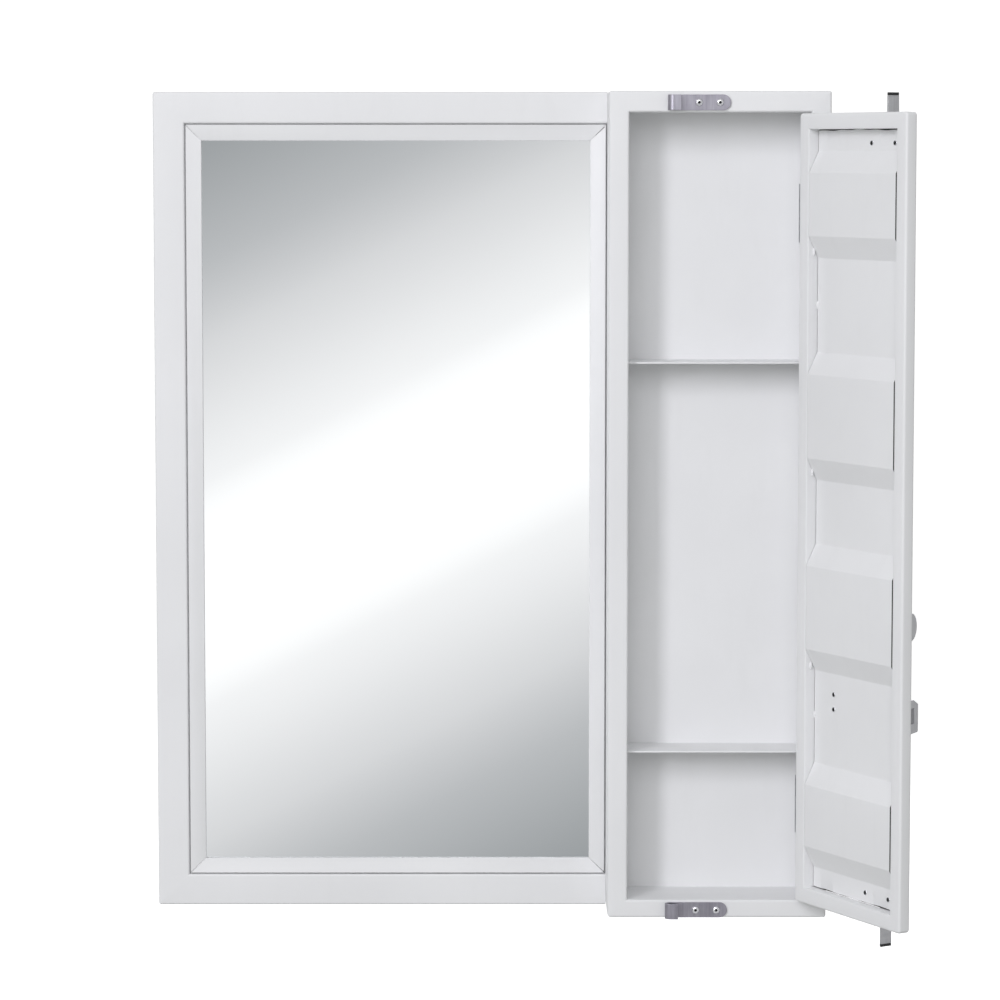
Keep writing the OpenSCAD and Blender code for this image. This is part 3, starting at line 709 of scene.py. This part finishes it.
scene = bpy.context.scene
scene.view_settings.view_transform = "Standard"

CAMERA_AT = Vector((0.0118, -3.877, -0.01))
TILT = math.radians(-4.671)
camera = bpy.data.objects.new("camera", bpy.data.cameras.new("camera"))
camera.data.sensor_width = 36.0
camera.data.lens = 124.48
camera.data.shift_y = -0.065
camera.location = CAMERA_AT
camera.rotation_euler = (math.pi / 2 + TILT, 0, 0)
scene.collection.objects.link(camera)
scene.camera = camera


def softbox(name, azimuth, height, distance, wide, tall, power):
    """A lit screen facing the object, azimuth degrees to its left and height degrees up."""
    aim = Vector((0.1, 0.0, -0.4))
    turn, rise = math.radians(azimuth), math.radians(height)
    level = math.cos(rise)
    way = Vector((-math.sin(turn) * level, -math.cos(turn) * level, math.sin(rise)))
    lamp = bpy.data.lights.new(name, "AREA")
    lamp.shape = "RECTANGLE"
    lamp.size = wide
    lamp.size_y = tall
    lamp.energy = power
    lamp.color = (0.955, 0.95, 1.0)
    obj = bpy.data.objects.new(name, lamp)
    obj.location = aim + distance * way
    obj.rotation_euler = (-way).to_track_quat("-Z", "Y").to_euler()
    scene.collection.objects.link(obj)


softbox("tall_screen", azimuth=31, height=20, distance=6.6, wide=1.1, tall=3.6, power=168.0)
softbox("wide_screen", azimuth=7, height=25, distance=6.3, wide=3.3, tall=2.9, power=96.0)
softbox("rear_screen", azimuth=205, height=28, distance=6.0, wide=2.5, tall=2.5, power=110.0)


def surroundings():
    """White to the camera, soft light on matt surfaces, and for reflections broad bright
    bands on grey, as a studio's lit screens look in a mirror."""
    world = bpy.data.worlds.new("studio")
    scene.world = world
    world.use_nodes = True
    nodes, links = world.node_tree.nodes, world.node_tree.links
    nodes.clear()
    out = nodes.new("ShaderNodeOutputWorld")
    way = nodes.new("ShaderNodeTexCoord").outputs["Generated"]
    ray = nodes.new("ShaderNodeLightPath")
    split = nodes.new("ShaderNodeSeparateXYZ")
    links.new(way, split.inputs["Vector"])

    def maths(operation, a, b=None):
        node = nodes.new("ShaderNodeMath")
        node.operation = operation
        for socket, value in zip(node.inputs, (a, b)):
            if value is None:
                continue
            if isinstance(value, (int, float)):
                socket.default_value = value
            else:
                links.new(value, socket)
        return node.outputs["Value"]

    forward = maths("ADD", maths("ABSOLUTE", split.outputs["Y"]), 0.004)
    across = maths("DIVIDE", split.outputs["X"], forward)
    up = maths("DIVIDE", split.outputs["Z"], forward)
    slanted = maths("ADD", maths("MULTIPLY", across, -3.14), maths("MULTIPLY", up, 6.05))
    off = maths("ABSOLUTE", maths("ADD", slanted, 0.506))
    ramp = nodes.new("ShaderNodeValToRGB")
    links.new(maths("PINGPONG", off, 1.0), ramp.inputs["Fac"])
    ramp.color_ramp.interpolation = "B_SPLINE"
    stops = (
        (0.0, (1.0, 1.0, 1.0)), (0.12, (1.0, 1.0, 1.0)), (0.2, (0.885, 0.885, 0.89)),
        (0.44, (0.63, 0.63, 0.64)), (0.58, (0.47, 0.48, 0.492)), (0.8, (0.308, 0.322, 0.332)),
        (1.0, (0.235, 0.248, 0.256)),
    )
    fill_ramp(ramp, stops)

    def shade(colour, strength):
        node = nodes.new("ShaderNodeBackground")
        node.inputs["Strength"].default_value = strength
        if isinstance(colour, tuple):
            node.inputs["Color"].default_value = (*colour, 1)
        else:
            links.new(colour, node.inputs["Color"])
        return node.outputs["Background"]

    def either(switch, off_shade, on_shade):
        node = nodes.new("ShaderNodeMixShader")
        links.new(switch, node.inputs["Fac"])
        links.new(off_shade, node.inputs[1])
        links.new(on_shade, node.inputs[2])
        return node.outputs["Shader"]

    soft = shade((0.985, 1.0, 0.98), 0.44)
    mirrored = shade(ramp.outputs["Color"], 1.11)
    seen = shade((1.0, 1.0, 1.0), 1.08)
    unseen = either(ray.outputs["Is Glossy Ray"], soft, mirrored)
    links.new(either(ray.outputs["Is Camera Ray"], unseen, seen), out.inputs["Surface"])


surroundings()

HANGS_ABOVE_FLOOR = 1.05
floor_bm = bmesh.new()
bmesh.ops.create_grid(floor_bm, x_segments=8, y_segments=8, size=60.0)
floor_mesh = bpy.data.meshes.new("floor")
floor_bm.to_mesh(floor_mesh)
floor_bm.free()
floor = bpy.data.objects.new("floor", floor_mesh)
floor.location.z = cad_box[0].z - HANGS_ABOVE_FLOOR
floor_look = Shader("pale_floor", 0.0, 0.9)
clouding = floor_look.noise(0.7)
floor_look.paint(floor_look.colours(clouding, (0.3, (0.86, 0.86, 0.86)), (0.7, (0.88, 0.88, 0.88))))
floor_look.surface.inputs["Emission Color"].default_value = (1, 1, 1, 1)
floor_look.surface.inputs["Emission Strength"].default_value = 0.64
floor_mesh.materials.append(floor_look.material)
floor.visible_glossy = False
floor.visible_diffuse = False
scene.collection.objects.link(floor)
